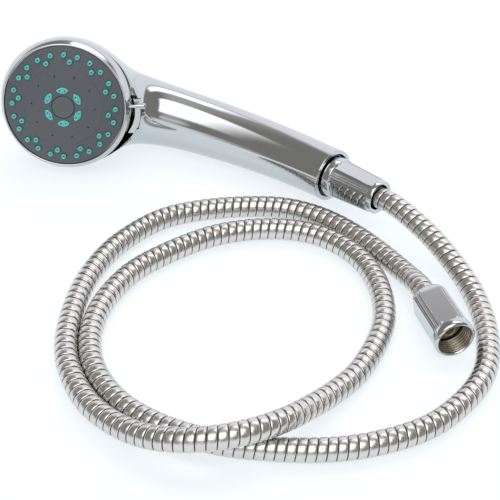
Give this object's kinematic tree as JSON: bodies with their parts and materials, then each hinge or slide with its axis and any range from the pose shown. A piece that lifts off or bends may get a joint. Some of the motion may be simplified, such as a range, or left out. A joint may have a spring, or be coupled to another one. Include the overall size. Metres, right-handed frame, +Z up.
{
  "type": "handheld shower head with hose",
  "caption": "Domed round hand shower with teal rubber nozzles, a thumb lever on its selector ring, an arched chrome handle and a coiled metal hose.",
  "frame": {"origin": "on the table, below the middle of the handset's bounding box, the hose and what is on it left out", "axes": "+Z up from the table; +X along the handset from the head towards the hose; the spray face looks towards -Y and a little up"},
  "size_m": [0.3473, 0.307, 0.087],
  "materials": {
    "chromed_plastic": "polished chrome plating on ABS",
    "grey_abs": "fine satin dark grey",
    "teal_silicone": "soft matt silicone",
    "white_pom": "plain moulded",
    "black_rubber": "matt",
    "beige_rubber": "matt",
    "stainless_steel": "plain",
    "chromed_brass": "polished chrome plating on brass",
    "brass": "turned brass",
    "hose_metal": "interlocked chromed steel strip over a plastic inner hose"
  },
  "bodies": {
    "handset": {"handle_shell": "chromed_plastic", "face_plate": "grey_abs", "centre_cap": "grey_abs", "nozzle_mat": "teal_silicone", "massage_mat": "teal_silicone", "chamber_plate": "white_pom", "head_manifold": "white_pom", "diverter_gasket": "black_rubber", "centre_screw": "stainless_steel", "detent_ball": "stainless_steel", "detent_spring": "stainless_steel", "water_tube": "white_pom", "inlet_spigot": "chromed_brass", "inlet_o_ring": "black_rubber", "filter_screen": "stainless_steel", "flow_restrictor": "white_pom", "cone_washer": "black_rubber", "cone_hose_tail": "brass", "cone_ferrule": "stainless_steel", "hose": "hose_metal", "supply_washer": "beige_rubber", "supply_hose_tail": "brass", "supply_ferrule": "stainless_steel"},
    "selector": {"selector_ring": "chromed_plastic", "valve_disc": "white_pom"},
    "cone_nut": {"cone_nut": "chromed_brass"},
    "supply_nut": {"supply_nut": "chromed_brass"}
  },
  "joints": [
    {"name": "selector_turn", "type": "hinge", "parent": "handset", "child": "selector", "pos_m": [-0.0749, -0.01941, 0.04749], "axis": [0.1224, -0.9299, 0.3469], "range_deg": [-50, 25]},
    {"name": "cone_nut_spin", "type": "hinge", "parent": "handset", "child": "cone_nut", "pos_m": [0.1071, -0.0213, 0.0198], "axis": [0.8532, -0.5169, 0.0702], "continuous": true},
    {"name": "supply_nut_spin", "type": "hinge", "parent": "handset", "child": "supply_nut", "pos_m": [0.2009, -0.1533, 0.014], "axis": [0.4997, -0.8655, 0.0349], "continuous": true}
  ]
}
